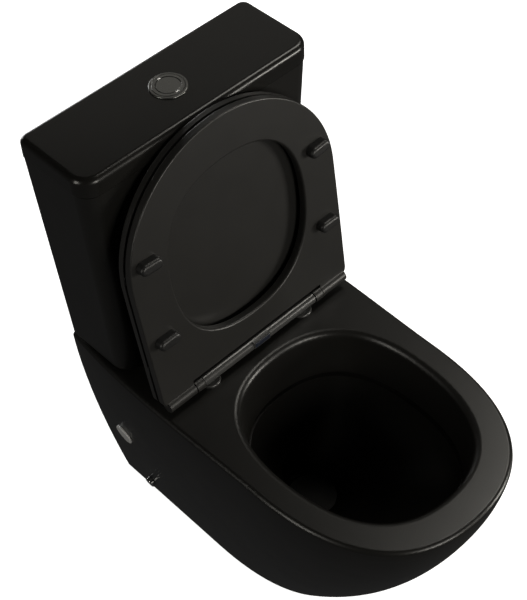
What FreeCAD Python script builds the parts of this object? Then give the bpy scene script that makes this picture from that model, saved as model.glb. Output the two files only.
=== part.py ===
"""Close coupled toilet: pan, cistern with its valves and buttons, seat, cover and hinge.

Frame: millimetres, +Z up, floor at z = 0, -Y towards the user, origin on the floor below the
middle of the outer size. Lengths called "out" are measured forwards from the wall plane.
The seat and the cover are drawn lying down, and stand open by their Placement.
"""
import FreeCAD
import Part
import Sketcher
import math
import os

from FreeCAD import Placement, Rotation, Vector

SIZES = {
    # pan
    "pan_depth": 640, "rim_height": 400, "rim_width": 367, "rear_width": 350, "foot_width": 238,
    "foot_reach": 440, "rim_nose_length": 240, "foot_nose_length": 210, "swell_power": 1.5,
    "side_bulge": 21, "skirt_wall": 13, "deck_thickness": 14, "rim_round": 7,
    # bowl
    "bowl_rear_out": 248, "rim_front": 55, "rim_side": 45, "bowl_middle_out": 405,
    "bowl_round": 11, "band_height": 78, "band_draft": 9, "lip_undercut": 5, "groove_height": 9,
    "bowl_wall": 11, "bowl_depth": 275, "sump_width": 76, "sump_rear_out": 288,
    "sump_front_out": 365,
    # trapway and outlet
    "trap_bore_radius": 30, "trap_wall": 10, "outlet_radius": 51, "outlet_bore_radius": 43,
    "outlet_height": 180, "outlet_set_back": 30, "outlet_length": 62, "weir_drop": 165,
    # flush channel under the deck
    "channel_width": 100, "channel_wall": 12, "channel_depth": 86, "valve_tail_room": 5,
    "valve_nut_wall": 3.9, "slot_width": 60,
    # cistern
    "tank_height": 372, "tank_gap": 3, "tank_side_taper": 21.5, "tank_front_taper": 9,
    "tank_wall": 9, "tank_floor": 11, "tank_corner": 26, "tank_foot_round": 10,
    "valve_out": 66, "valve_hole_radius": 31, "tank_bolt_spread": 152, "tank_bolt_radius": 4,
    "inlet_spread": 240, "inlet_hole_radius": 11.5, "inlet_clear_radius": 22,
    # cistern lid
    "lid_width": 400, "lid_depth": 136, "lid_height": 29, "lid_seam": 2, "lid_overhang": 1.5,
    "lid_corner": 28, "lid_round": 9, "lid_wall": 11, "button_out": 68,
    "button_hole_radius": 25, "buffer_size": 7,
    # buttons
    "bezel_width": 3.6, "bezel_wall": 1.6, "button_gap": 0.4, "half_button_radius": 17,
    "bezel_proud": 2, "bezel_depth": 24, "rod_length": 112, "spring_wire": 0.7,
    "full_spring_radius": 13.5, "half_spring_radius": 6.5,
    # flush valve and fill valve
    "valve_tail": 24, "valve_height": 258, "overflow_radius": 14,
    "fill_valve_height": 280, "inlet_shank_radius": 10.5, "inlet_shank_length": 64,
    "float_radius": 26, "float_height": 60,
    # seat and cover
    "hinge_out": 217.5, "hinge_rise": 18, "seat_width": 372, "seat_rear_width": 366,
    "seat_set_back": 25.5, "seat_nose_length": 179, "seat_thickness": 14, "seat_drop": 3.5,
    "seat_round": 4, "hole_side": 62, "hole_rear": 57, "seat_front": 64, "hole_middle": 199,
    "cover_gap": 2, "cover_thickness": 12, "cover_recess": 5, "cover_rim": 11, "cover_round": 5,
    "lean_gap": 1.8, "cover_tip": 14, "bumper_length": 37, "bumper_width": 17.5,
    "bumper_spread": 309, "bumper_front": 256, "bumper_rear": 121, "bumper_gap": 0.5,
    "bumper_round": 5,
    # hinge
    "bar_radius": 9.2, "bar_length": 222, "ear_width": 14, "ear_radius": 10.2, "knuckle_radius": 9.6,
    "seat_notch": 16,
    "knuckle_length": 49, "hinge_gap": 1.3, "pin_radius": 3, "running_gap": 0.06,
    "post_spread": 186, "post_out": 212, "post_radius": 4, "disc_radius": 16.5, "disc_height": 4,
    "stud_length": 48, "release_width": 29, "release_height": 9.5, "release_rise": 2.75,
    "release_travel": 2,
    "deck_hole_radius": 6,
    # fixings low on the skirt
    "cap_radius": 18, "cap_out": 72, "cap_height": 200, "fixing_out": 80, "fixing_height": 46,
    "fixing_radius": 4, "floor_screw_radius": 3,
}

document = FreeCAD.newDocument("close_coupled_toilet")
sheet = document.addObject("Spreadsheet::Sheet", "Sizes")
for row, (alias, value) in enumerate(SIZES.items(), start=1):
    sheet.set(f"A{row}", str(value))
    sheet.setAlias(f"A{row}", alias)
document.recompute()

ROUND = 0.5523        # Bezier handle of a quarter circle
SQUARED = 0.655       # handle of a fuller quarter, between a circle and a square
nodes = []


def size(expression):
    """Value of an expression in the sheet's names, such as "rim_height - deck_thickness"."""
    return float(sheet.evalExpression(str(expression)))


def in_sheet(expression):
    """The same expression as objects outside the sheet read it."""
    words = []
    word = ""
    for letter in str(expression) + " ":
        if letter.isalnum() or letter in "_.":
            word += letter
            continue
        words.append("Sizes." + word if word in SIZES else word)
        words.append(letter)
        word = ""
    return "".join(words).strip()


def keep(thing, label):
    """Give a finished piece its name and count it as a sub-part."""
    thing.Label = label
    nodes.append(thing)
    return thing


def place(thing, x=0, out=0, z=0, rotation=None):
    """Stand a piece at x, a distance out from the wall plane, and a height."""
    if rotation is not None:
        thing.Placement = Placement(Vector(), rotation)
    thing.setExpression(".Placement.Base.x", in_sheet(x))
    thing.setExpression(".Placement.Base.y", in_sheet(f"pan_depth / 2 - ({out})"))
    thing.setExpression(".Placement.Base.z", in_sheet(z))
    return thing


def add(kind, name, **values):
    """Add a Part object whose sizes are expressions in the sheet's names."""
    thing = document.addObject("Part::" + kind, name)
    for key, expression in values.items():
        thing.setExpression(key, in_sheet(expression))
    return thing


def cylinder(name, radius, height, x=0, out=0, z=0, rotation=None):
    return place(add("Cylinder", name, Radius=radius, Height=height), x, out, z, rotation)


def box(name, length, width, height, x=0, out=0, z=0):
    """A box centred on x and out, standing on z."""
    thing = add("Box", name, Length=length, Width=width, Height=height)
    return place(thing, f"{x} - ({length}) / 2", f"{out} + ({width}) / 2", z)


def fuse(name, pieces):
    thing = document.addObject("Part::MultiFuse", name)
    thing.Shapes = pieces
    thing.Refine = True
    return thing


def cut(name, base, tools):
    thing = document.addObject("Part::Cut", name)
    thing.Base = base
    thing.Tool = tools[0] if len(tools) == 1 else fuse(name + "_tools", tools)
    return thing


def group(label, pieces):
    """Like pieces that share one node, each a solid of its own."""
    thing = document.addObject("Part::Compound", label)
    thing.Links = pieces
    return keep(thing, label)


def plain(label, shape, placement=None):
    """A piece whose surfaces no feature makes, from Part's own functions."""
    thing = document.addObject("Part::Feature", label)
    thing.Shape = shape
    if placement is not None:
        thing.Placement = placement
    return thing


def wall_frame(z=0):
    """Placement of a piece drawn with the wall plane at y = 0."""
    return Placement(Vector(0, size("pan_depth / 2"), size(z)), Rotation())


# ---- sketches -------------------------------------------------------------------------------

def origin_plane(body, role):
    return next(item for item in body.Origin.OriginFeatures if item.Role == role)


def outline(body, name, role, points, offset=0):
    """Closed sketch of straight lines whose corners are held by expressions."""
    sketch = body.newObject("Sketcher::SketchObject", name)
    sketch.AttachmentSupport = [(origin_plane(body, role), "")]
    sketch.MapMode = "FlatFace"
    sketch.setExpression(".AttachmentOffset.Base.z", in_sheet(offset))
    places = [Vector(size(across), size(up), 0) for across, up in points]
    for first, second in zip(places, places[1:] + places[:1]):
        sketch.addGeometry(Part.LineSegment(first, second), False)
    for index in range(len(points)):
        sketch.addConstraint(Sketcher.Constraint("Coincident", index, 1, index - 1, 2)
                             if index else Sketcher.Constraint("Coincident", 0, 1, len(points) - 1, 2))
    for index, (across, up) in enumerate(points):
        for kind, expression, value in (("DistanceX", across, places[index].x),
                                        ("DistanceY", up, places[index].y)):
            number = sketch.addConstraint(Sketcher.Constraint(kind, -1, 1, index, 1, value))
            sketch.setExpression(f"Constraints[{number}]", in_sheet(expression))
    return sketch


def circle(sketch, across, up, radius):
    """Circle in a sketch, its centre and radius held by expressions."""
    index = sketch.GeometryCount
    centre = Vector(size(across), size(up), 0)
    sketch.addGeometry(Part.Circle(centre, Vector(0, 0, 1), size(radius)), False)
    for constraint, expression in (
            (Sketcher.Constraint("DistanceX", -1, 1, index, 3, centre.x), across),
            (Sketcher.Constraint("DistanceY", -1, 1, index, 3, centre.y), up),
            (Sketcher.Constraint("Radius", index, size(radius)), radius)):
        number = sketch.addConstraint(constraint)
        sketch.setExpression(f"Constraints[{number}]", in_sheet(expression))


def drill(body, name, sketch, length):
    """Pocket as deep on each side of its sketch, so that it cuts whichever way it faces."""
    pocket = body.newObject("PartDesign::Pocket", name)
    pocket.Profile = sketch
    pocket.Midplane = True
    pocket.setExpression("Length", in_sheet(length))
    document.recompute()
    return pocket


def turned(name, profile):
    """Body turned about its own Z axis; the profile is (radius, height) corners."""
    body = document.addObject("PartDesign::Body", name)
    sketch = outline(body, name + "_profile", "XZ_Plane", profile)
    turn = body.newObject("PartDesign::Revolution", name + "_turn")
    turn.Profile = sketch
    turn.ReferenceAxis = (sketch, ["V_Axis"])
    turn.Angle = 360
    return body


def padded(name, points, height, role="XY_Plane", offset=0):
    """Body raised from a straight-sided outline."""
    body = document.addObject("PartDesign::Body", name)
    sketch = outline(body, name + "_outline", role, points, offset)
    pad = body.newObject("PartDesign::Pad", name + "_pad")
    pad.Profile = sketch
    pad.setExpression("Length", in_sheet(height))
    return body


def rectangle(half_width, front, back):
    """Corners of a rectangle from the back (+Y) to the front (-Y)."""
    return [(f"-({half_width})", f"-({front})"), (half_width, f"-({front})"),
            (half_width, f"-({back})"), (f"-({half_width})", f"-({back})")]


def edges_where(shape, test):
    """Names of the edges whose every end passes the test."""
    return [f"Edge{number}" for number, edge in enumerate(shape.Edges, start=1)
            if all(test(vertex.Point) for vertex in edge.Vertexes) and test(edge.CenterOfMass)]


def round_edges(body, name, names, radius):
    """PartDesign fillet on the body's tip."""
    document.recompute()
    base = body.Tip
    fillet = body.newObject("PartDesign::Fillet", name)
    fillet.Base = (base, names)
    fillet.setExpression("Radius", in_sheet(radius))
    document.recompute()
    return fillet


def upright_corners(shape, test):
    """Names of the edges that rise along the height, near the places that pass the test."""
    names = []
    for number, edge in enumerate(shape.Edges, start=1):
        ends = [vertex.Point for vertex in edge.Vertexes]
        if len(ends) == 2 and abs(ends[0].z - ends[1].z) > 0.7 * edge.Length and test(ends[0]):
            names.append(f"Edge{number}")
    return names


# ---- curves of the pan and the bowl -----------------------------------------------------------

def bezier(*poles):
    curve = Part.BezierCurve()
    curve.setPoles([Vector(*pole) for pole in poles])
    return curve.toShape()


def swell(z):
    """Share of the way from the foot's outline to the rim's, at a height."""
    return 1 - (1 - max(z, 0) / size("rim_height")) ** size("swell_power")


def pan_numbers(z, inset=0):
    """Half widths and reaches of the pan's outline at a height, moved in by a wall."""
    share = swell(z)
    foot = size("foot_width / 2")
    rear = foot + size("(rear_width - foot_width) / 2") * share - inset
    shoulder = foot + size("(rim_width - foot_width) / 2") * share - inset
    nose = size("foot_reach") + size("pan_depth - foot_reach") * share - inset
    length = size("foot_nose_length") + size("rim_nose_length - foot_nose_length") * share - inset
    return rear, rear + size("side_bulge") * share, shoulder, nose, length


def side_poles(z, inset=0, behind=0):
    rear, bulge, shoulder, nose, length = pan_numbers(z, inset)
    start = nose - length
    return [(rear, behind, z), (bulge, -0.3 * start, z), (shoulder, -0.72 * start, z),
            (shoulder, -start, z)]


def pan_section(z, inset=0, behind=0):
    """Outline of the pan at a height: flat back, long sides and a full round nose."""
    side = side_poles(z, inset, behind)
    shoulder, nose, length = pan_numbers(z, inset)[2:]
    start = nose - length
    front = [side[-1], (shoulder, -start - SQUARED * length, z), (SQUARED * shoulder, -nose, z),
             (0, -nose, z)]
    mirror = [[(-x, y, height) for x, y, height in reversed(poles)] for poles in (front, side)]
    back = Part.makeLine(Vector(-side[0][0], behind, z), Vector(side[0][0], behind, z))
    return Part.Wire([bezier(*side), bezier(*front), bezier(*mirror[0]), bezier(*mirror[1]), back])


def wall_point(out, z):
    """Point of the pan's side at a distance from the wall and a height, on the +X side."""
    poles = side_poles(z)
    low, high = 0.0, 1.0
    for _ in range(40):
        share = (low + high) / 2
        weights = [(1 - share) ** 3, 3 * share * (1 - share) ** 2, 3 * share ** 2 * (1 - share),
                   share ** 3]
        across = sum(weight * pole[0] for weight, pole in zip(weights, poles))
        along = -sum(weight * pole[1] for weight, pole in zip(weights, poles))
        low, high = (share, high) if along < out else (low, share)
    return Vector(across, -out, z)


def wall_placement(out, z, side):
    """Placement with its origin on the pan's side and its Z axis square to it, outwards."""
    step = 4
    point = wall_point(out, z)
    along = wall_point(out + step, z) - wall_point(out - step, z)
    up = wall_point(out, z + step) - wall_point(out, z - step)
    normal = up.cross(along).normalize()
    if normal.x < 0:
        normal = -normal
    point.x *= side
    normal.x *= side
    return Placement(point + Vector(0, size("pan_depth / 2"), 0), Rotation(Vector(0, 0, 1), normal))


def oval(z, rear, front, half_width, middle, fullness=SQUARED):
    """Egg-shaped outline across the bowl at a height."""
    poles = []
    for end, sign in ((front, 1), (rear, 1), (rear, -1), (front, -1)):
        reach = end - middle
        quarter = [(sign * half_width, -middle, z),
                   (sign * half_width, -(middle + fullness * reach), z),
                   (sign * fullness * half_width, -end, z), (0, -end, z)]
        poles.append(quarter)
    edges = [bezier(*poles[0]), bezier(*reversed(poles[3])), bezier(*poles[2]),
             bezier(*reversed(poles[1]))]
    return Part.Wire(Part.__sortEdges__(edges))


def loft(wires):
    return Part.makeLoft(wires, True, False)


def cylinder_between(radius, start, end):
    return Part.makeCylinder(radius, (end - start).Length, start, end - start)


def upright(radius, x, out, low, high):
    return Part.makeCylinder(radius, high - low, Vector(x, -out, low))


def block(x_low, x_high, out_low, out_high, z_low, z_high):
    return Part.makeBox(x_high - x_low, out_high - out_low, z_high - z_low,
                        Vector(x_low, -out_high, z_low))


def trap_path(points):
    """Straight runs in the middle plane, (out, z), joined by the largest arcs that fit."""
    corners = [Vector(0, -out, z) for out, z in points]
    edges = []
    start = corners[0]
    for before, corner, after in zip(corners, corners[1:], corners[2:]):
        into = (corner - before).normalize()
        away = (after - corner).normalize()
        reach = 0.45 * min((corner - before).Length, (after - corner).Length)
        first = corner - into * reach
        last = corner + away * reach
        middle_way = (away - into).normalize()
        turn = math.acos(max(-1, min(1, into.dot(away))))
        radius = reach / math.tan(turn / 2)
        centre = corner + middle_way * (radius / math.cos(turn / 2))
        edges.append(Part.makeLine(start, first))
        edges.append(Part.Arc(first, centre - middle_way * radius, last).toShape())
        start = last
    edges.append(Part.makeLine(start, corners[-1]))
    return Part.Wire(edges)


def pipe(path, radius):
    start = path.Vertexes[0].Point
    tangent = path.Edges[0].tangentAt(path.Edges[0].FirstParameter)
    circle = Part.Wire(Part.makeCircle(radius, start, tangent))
    return path.makePipeShell([circle], True, False)


# ---- pan --------------------------------------------------------------------------------------

def pan_shell():
    """Skirt and deck: outer form less the hollow that opens to the floor and to the wall."""
    rim = size("rim_height")
    shares = (0, 0.1, 0.25, 0.42, 0.6, 0.78, 0.92, 1)
    outer = loft([pan_section(share * rim) for share in shares])
    top = [edge for edge in outer.Edges
           if all(abs(vertex.Z - rim) < 0.01 for vertex in edge.Vertexes)
           and edge.CenterOfMass.y < -0.01]
    outer = outer.makeFillet(size("rim_round"), top)
    roof = size("rim_height - deck_thickness")
    wall = size("skirt_wall")
    hollow = loft([pan_section(share * roof, wall, wall) for share in shares])
    foot = Part.Face(pan_section(0, wall, wall)).extrude(Vector(0, 0, -5))
    return outer.cut(hollow.fuse(foot))


def bowl_levels():
    """Rear, front, half width and middle of the bowl's inside below the lip, from the top."""
    lip = size("rim_height - band_height")
    floor = size("rim_height - bowl_depth")
    rear = size("bowl_rear_out + band_draft")
    front = size("pan_depth - rim_front - band_draft - 2")
    half = size("(rim_width - 2 * rim_side) / 2 - band_draft - 2")
    middle = size("bowl_middle_out")
    levels = []
    for drop, width_left, front_left, rear_left, middle_left in (
            (0, 1, 1, 1, 1), (0.22, 0.86, 0.87, 0.82, 0.9), (0.45, 0.62, 0.62, 0.6, 0.66),
            (0.66, 0.38, 0.38, 0.38, 0.4), (0.85, 0.14, 0.14, 0.16, 0.15), (1, 0, 0, 0, 0)):
        levels.append((
            lip - 4 + (floor - lip + 4) * drop,
            size("sump_rear_out") + (rear - size("sump_rear_out")) * rear_left,
            size("sump_front_out") + (front - size("sump_front_out")) * front_left,
            size("sump_width / 2") + (half - size("sump_width / 2")) * width_left,
            size("(sump_rear_out + sump_front_out) / 2") * (1 - middle_left) + middle * middle_left,
            ROUND + (SQUARED - ROUND) * width_left))
    return levels


def bowl_inside():
    """Band under the rim, undercut groove below its lip, then the bowl down to the sump."""
    rim = size("rim_height")
    lip = size("rim_height - band_height")
    draft = size("band_draft")
    rear = size("bowl_rear_out")
    front = size("pan_depth - rim_front")
    half = size("(rim_width - 2 * rim_side) / 2")
    middle = size("bowl_middle_out")
    band = loft([oval(z, rear + draft * share, front - draft * share, half - draft * share, middle)
                 for z, share in ((rim + 1, 0), (rim - 0.5 * (rim - lip), 0.35), (lip - 1, 1))])
    under = size("lip_undercut")
    groove = loft([oval(z, rear + draft - under, front - draft + under, half - draft + under, middle)
                   for z in (lip, lip - size("groove_height"))])
    below = loft([oval(z, *level) for z, *level in bowl_levels()])
    return band.fuse([groove, below])


def bowl_outside():
    """The bowl's own wall, from the deck down to under the sump."""
    wall = size("bowl_wall")
    roof = size("rim_height - deck_thickness")
    rear = size("bowl_rear_out")
    front = size("pan_depth - rim_front")
    half = size("(rim_width - 2 * rim_side) / 2")
    middle = size("bowl_middle_out")
    top = [oval(z, rear - wall, front + wall, half + wall, middle)
           for z in (roof + 4, size("rim_height - band_height - groove_height - 4"))]
    levels = bowl_levels()[1:]
    rest = [oval(z, low - wall, high + wall, wide + wall, centre, full)
            for z, low, high, wide, centre, full in levels]
    z, low, high, wide, centre, full = levels[-1]
    end = oval(z - wall, low - 0.4 * wall, high + 0.4 * wall, wide + 0.4 * wall, centre, full)
    return loft(top + rest + [end])


def make_pan():
    wall = size("skirt_wall")
    deck = size("rim_height - deck_thickness")
    half_channel = size("channel_width / 2")
    skin = size("channel_wall")
    rear = size(CHANNEL_REAR)
    bottom = deck - size("channel_depth")
    back_wall = size("bowl_rear_out") - 4
    lip = size("rim_height - band_height")

    sump = size("rim_height - bowl_depth")
    weir = size("rim_height - weir_drop")
    outlet = size("outlet_height")
    bore = size("trap_bore_radius")
    centre = size("(sump_rear_out + sump_front_out) / 2")
    low = sump + bore + 3
    path = trap_path([(centre, low), (size("sump_rear_out") - 38, low), (205, weir), (150, weir),
                      (100, outlet), (size("outlet_set_back"), outlet)])
    trap = pipe(path, bore + size("trap_wall"))
    spigot_end = Vector(0, -size("outlet_set_back"), outlet)
    spigot = cylinder_between(size("outlet_radius"), spigot_end + Vector(0, -size("outlet_length"), 0),
                              spigot_end)
    channel = block(-half_channel, half_channel, rear, back_wall, bottom, deck + 2)
    shell = pan_shell()
    bowl = bowl_outside().fuse(channel).cut(shell)
    trapway = trap.fuse(spigot).cut(shell).cut(bowl_outside().fuse(channel))

    chamber = block(skin - half_channel, half_channel - skin, rear + skin, back_wall - skin,
                    bottom + skin, deck - 1)
    slot_half = size("slot_width / 2")
    slot = block(-slot_half, slot_half, back_wall - skin - 2, size("bowl_rear_out + band_draft + 3"),
                 lip - size("groove_height") + 1, lip)
    socket = cylinder_between(size("outlet_bore_radius"),
                              spigot_end + Vector(0, -size("outlet_length - trap_wall"), 0),
                              spigot_end + Vector(0, 1, 0))
    top = size("rim_height") + 1
    cuts = [pipe(path, bore), chamber, slot, socket, bowl_inside()]
    cuts.append(upright(size(FLUSH_HOLE), 0, size("valve_out"), deck - 2, top))
    for side in (-1, 1):
        for radius, spread, out in (
                ("tank_bolt_radius + 1.5", "tank_bolt_spread", "valve_out"),
                ("inlet_clear_radius", "inlet_spread", "valve_out"),
                ("deck_hole_radius", "post_spread", "post_out")):
            cuts.append(upright(size(radius), side * size(spread) / 2, size(out), deck - 2, top))
        for radius, out, z in (("cap_radius - 3", "cap_out", "cap_height"),
                               ("fixing_radius + 1", "fixing_out", "fixing_height")):
            hole = Part.makeCylinder(size(radius), 2.4 * wall, Vector(0, 0, -1.9 * wall))
            where = wall_placement(size(out), size(z), side)
            where.Base.y -= size("pan_depth / 2")
            hole.Placement = where
            cuts.append(hole)
    for tool in cuts:
        shell = shell.cut(tool)
        bowl = bowl.cut(tool)
        trapway = trapway.cut(tool)
    rim_edge = [edge for edge in shell.Edges
                if all(abs(vertex.Z - size("rim_height")) < 0.01 for vertex in edge.Vertexes)
                and edge.CenterOfMass.y < -size("bowl_rear_out") - 1
                and abs(edge.CenterOfMass.x) < size("(rim_width - 2 * rim_side) / 2")
                and edge.CenterOfMass.y > -size("pan_depth - rim_front") - 1]
    shell = shell.makeFillet(size("bowl_round"), rim_edge)
    keep(plain("pan", shell, wall_frame()), "pan")
    keep(plain("bowl", bowl, wall_frame()), "bowl")
    keep(plain("trapway", trapway, wall_frame()), "trapway")



# ---- cistern ----------------------------------------------------------------------------------

def wedge(body, name, kind, half_low, half_high, back, front_low, front_high, low, high):
    """Straight-sided form that widens along the body's Y axis, with its front along +Z."""
    form = body.newObject("PartDesign::" + kind, name)
    for key, expression in (
            ("Xmin", f"-({half_low})"), ("Xmax", half_low), ("X2min", f"-({half_high})"),
            ("X2max", half_high), ("Zmin", back), ("Z2min", back), ("Zmax", front_low),
            ("Z2max", front_high), ("Ymin", low), ("Ymax", high)):
        form.setExpression(key, in_sheet(expression))
    document.recompute()
    return form


def make_tank():
    """Tapered shell with an open top, and holes in its floor."""
    body = document.addObject("PartDesign::Body", "tank")
    half = "lid_width / 2 - lid_overhang"
    front = "lid_depth - lid_overhang"
    wedge(body, "tank_form", "AdditiveWedge", f"{half} - tank_side_taper", half, "0",
          f"{front} - tank_front_taper", front, "0", "tank_height")

    def rising(shape, test):
        return [f"Edge{number}" for number, edge in enumerate(shape.Edges, start=1)
                if abs(edge.Vertexes[0].Y - edge.Vertexes[-1].Y) > 0.7 * edge.Length
                and test(edge.CenterOfMass)]

    round_edges(body, "tank_front_corners", rising(body.Shape, lambda spot: spot.z > 50),
                "tank_corner")
    round_edges(body, "tank_back_corners", rising(body.Shape, lambda spot: spot.z < 1),
                "tank_corner / 2")
    round_edges(body, "tank_foot_edge",
                edges_where(body.Shape, lambda spot: abs(spot.y) < 0.01), "tank_foot_round")

    share = "(1 - tank_floor / tank_height)"
    wedge(body, "tank_hollow", "SubtractiveWedge", f"{half} - tank_wall - tank_side_taper * {share}",
          f"{half} - tank_wall", "tank_wall", f"{front} - tank_wall - tank_front_taper * {share}",
          f"{front} - tank_wall", "tank_floor", "tank_height")
    most = size(half) - size("tank_wall") + 0.01
    corners = rising(body.Shape, lambda spot: size("tank_wall") - 0.1 < spot.z
                     < size(front) - size("tank_wall") and abs(spot.x) < most
                     and abs(spot.x) > most - size("tank_side_taper"))
    round_edges(body, "tank_inner_corners", corners, "tank_corner / 2")

    sketch = body.newObject("Sketcher::SketchObject", "tank_holes")
    sketch.AttachmentSupport = [(origin_plane(body, "XZ_Plane"), "")]
    sketch.MapMode = "FlatFace"
    for radius, across in (
            ("valve_hole_radius", "0"), ("tank_bolt_radius + 1.5", "tank_bolt_spread / 2"),
            ("tank_bolt_radius + 1.5", "-tank_bolt_spread / 2"),
            ("inlet_hole_radius", "inlet_spread / 2"), ("inlet_hole_radius", "-inlet_spread / 2")):
        circle(sketch, across, "valve_out", radius)
    drill(body, "tank_drill", sketch, "2 * tank_floor + 10")
    place(body, z="rim_height + tank_gap", rotation=Rotation(Vector(1, 0, 0), 90))
    return keep(body, "tank")


LID_FOOT = "rim_height + tank_gap + tank_height + lid_seam"
LID_TOP = LID_FOOT + " + lid_height"


def make_tank_lid():
    """Shallow cap that rests on four buffers, with the button's hole."""
    body = padded("tank_lid", rectangle("lid_width / 2", "lid_depth", "0"), "lid_height")
    document.recompute()
    round_edges(body, "lid_front_corners",
                upright_corners(body.Shape, lambda end: end.y < -1), "lid_corner")
    round_edges(body, "lid_back_corners",
                upright_corners(body.Shape, lambda end: abs(end.y) < 1), "lid_corner / 2")
    top = size("lid_height")
    round_edges(body, "lid_top_edge",
                edges_where(body.Shape, lambda end: abs(end.z - top) < 0.01), "lid_round")
    sketch = outline(body, "lid_hollow_outline", "XY_Plane",
                     rectangle("lid_width / 2 - lid_wall", "lid_depth - lid_wall", "lid_wall"))
    drill(body, "lid_hollow", sketch, "2 * (lid_height - lid_wall)")
    inner = size("lid_width / 2 - lid_wall")
    round_edges(body, "lid_inner_corners", upright_corners(
        body.Shape, lambda end: abs(abs(end.x) - inner) < 0.01), "lid_corner - lid_wall")
    sketch = body.newObject("Sketcher::SketchObject", "button_hole")
    sketch.AttachmentSupport = [(origin_plane(body, "XY_Plane"), "")]
    sketch.MapMode = "FlatFace"
    circle(sketch, "0", "-button_out", "button_hole_radius")
    drill(body, "button_drill", sketch, "2 * lid_height + 2")
    place(body, z=LID_FOOT)
    return keep(body, "tank_lid")


def make_lid_buffers():
    """Four soft pads on the cistern's rim that carry the lid and leave its thin seam."""
    pads = []
    for side in (-1, 1):
        for out in ("tank_wall / 2 + 0.5", "lid_depth - lid_overhang - tank_wall / 2 - 0.5"):
            pads.append(box(f"lid_buffer_{len(pads)}", "buffer_size * 4", "buffer_size", "lid_seam",
                            f"{side} * (lid_width / 2 - lid_corner - 22)", out,
                            "rim_height + tank_gap + tank_height"))
    return group("lid_buffers", pads)


def tube(name, outer, inner, height, x=0, out=0, z=0):
    body = turned(name, [(inner, 0), (outer, 0), (outer, height), (inner, height)])
    return place(body, x, out, z)


def hexagon(name, across, bore, height, x=0, out=0, z=0):
    """Hexagonal nut with a plain bore."""
    prism = document.addObject("Part::Prism", name + "_prism")
    prism.Polygon = 6
    prism.setExpression("Circumradius", in_sheet(f"({across}) / 2 / cos(30)"))
    prism.setExpression("Height", in_sheet(height))
    place(prism, x, out, z)
    return cut(name, prism, [cylinder(name + "_bore", bore, f"{height} + 2", x, out, f"{z} - 1")])


def make_tank_fixings():
    """Foam ring, and the two bolts that clamp the cistern down to the deck."""
    keep(tube("tank_gasket", f"{FLUSH_HOLE} + 16", f"{FLUSH_HOLE} + 1", "tank_gap", 0,
              "valve_out", "rim_height"), "tank_gasket")
    bolts, seals, washers, nuts = [], [], [], []
    floor = "rim_height + tank_gap + tank_floor"
    deck = "rim_height - deck_thickness"
    for side in (-1, 1):
        x = f"{side} * tank_bolt_spread / 2"
        reach = "tank_floor + tank_gap + deck_thickness + 24"
        profile = [(0, f"-({reach})"), ("tank_bolt_radius", f"-({reach})"), ("tank_bolt_radius", 0),
                   ("tank_bolt_radius * 2", 0), ("tank_bolt_radius * 2", 3),
                   ("tank_bolt_radius", "tank_bolt_radius + 1"), (0, "tank_bolt_radius + 1")]
        bolt = turned(f"tank_bolt_{side + 1}", profile)
        bolts.append(place(bolt, x, "valve_out", f"{floor} + 2"))
        seals.append(tube(f"tank_bolt_seal_{side + 1}", "tank_bolt_radius * 3",
                          "tank_bolt_radius + 0.1", 2, x, "valve_out", floor))
        washers.append(tube(f"tank_bolt_washer_{side + 1}", "tank_bolt_radius * 2.7",
                            "tank_bolt_radius + 0.2", 2, x, "valve_out", f"{deck} - 2"))
        hub = cylinder(f"wing_hub_{side + 1}", "tank_bolt_radius * 1.9", 8, x, "valve_out",
                       f"{deck} - 10")
        wings = box(f"wing_bar_{side + 1}", 34, 3, 8, x, "valve_out", f"{deck} - 12")
        bore = cylinder(f"wing_bore_{side + 1}", "tank_bolt_radius + 0.1", 20, x, "valve_out",
                        f"{deck} - 20")
        nuts.append(cut(f"wing_nut_{side + 1}", fuse(f"wings_{side + 1}", [hub, wings]), [bore]))
    group("tank_bolts", bolts)
    group("tank_bolt_seals", seals)
    group("tank_bolt_washers", washers)
    group("tank_wing_nuts", nuts)


# ---- flush valve, fill valve -------------------------------------------------------------------

CHANNEL_REAR = "(valve_out - valve_hole_radius - valve_tail_room - channel_wall)"
FLUSH_HOLE = "(valve_hole_radius + valve_nut_wall + 1.1)"
TANK_INSIDE = "rim_height + tank_gap + tank_floor"


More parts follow.
